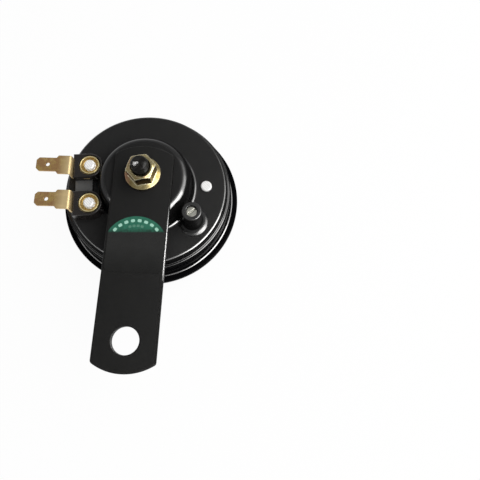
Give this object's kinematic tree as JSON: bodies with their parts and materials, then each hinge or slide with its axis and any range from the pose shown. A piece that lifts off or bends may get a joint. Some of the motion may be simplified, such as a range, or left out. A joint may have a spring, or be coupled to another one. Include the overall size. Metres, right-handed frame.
{
  "type": "car horn",
  "caption": "Electric disc horn for a vehicle: black pressed steel body, dished front disc, mounting strip with a hole, flange nut, blade terminals and tuning screw.",
  "frame": {"origin": "Centre of the strip's fixing hole, on the strip's outer (rear) face", "axes": "+Z is the way a fixing bolt leaves, out of the horn's rear; +Y runs along the strip from the hole to the disc; +X is to the right as seen from behind with the strip hanging down"},
  "size_m": [0.0904, 0.1254, 0.0585],
  "materials": {
    "black_housing": "black semi-gloss enamel on steel",
    "black_front": "black gloss enamel on sheet steel",
    "black_strip": "black satin powder coat on steel",
    "label_film": "dark printed film with a green cap",
    "yellow_zinc": "yellow passivated zinc plate on steel",
    "black_oxide": "black finished steel, glossy with oil",
    "bobbin_plastic": "natural nylon",
    "copper_wire": "enamelled copper wire",
    "plain_steel": "bare steel",
    "grey_zinc": "dull grey zinc plate on steel",
    "rivet_brass": "pale brass",
    "block_plastic": "black moulded plastic, slightly glossy",
    "terminal_brass": "rolled brass, lightly tarnished",
    "silver_rivet": "bright tinned metal",
    "gasket_paper": "brown fibre board"
  },
  "bodies": {
    "root": {"housing": "black_housing", "diaphragm": "black_front", "rim_gaskets": "gasket_paper", "mounting_bracket": "black_strip", "bracket_label": "label_film", "bracket_nut": "yellow_zinc", "pole_core": "black_oxide", "coil_bobbin": "bobbin_plastic", "coil_winding": "copper_wire", "armature": "plain_steel", "armature_spacer": "plain_steel", "centre_washer": "grey_zinc", "centre_rivet": "rivet_brass", "terminal_block": "block_plastic", "contact_terminal": "terminal_brass", "coil_terminal": "terminal_brass", "terminal_cup_washers": "terminal_brass", "terminal_rivets": "silver_rivet", "inner_insulator_plate": "gasket_paper", "contact_rivet": "silver_rivet", "adjuster_sleeve": "black_housing", "tuning_screw": "grey_zinc", "fixed_contact_arm": "plain_steel", "moving_contact_arm": "plain_steel", "fixed_contact_point": "silver_rivet", "moving_contact_point": "silver_rivet", "contact_insulators": "gasket_paper", "lead_wires": "copper_wire"}
  },
  "joints": []
}
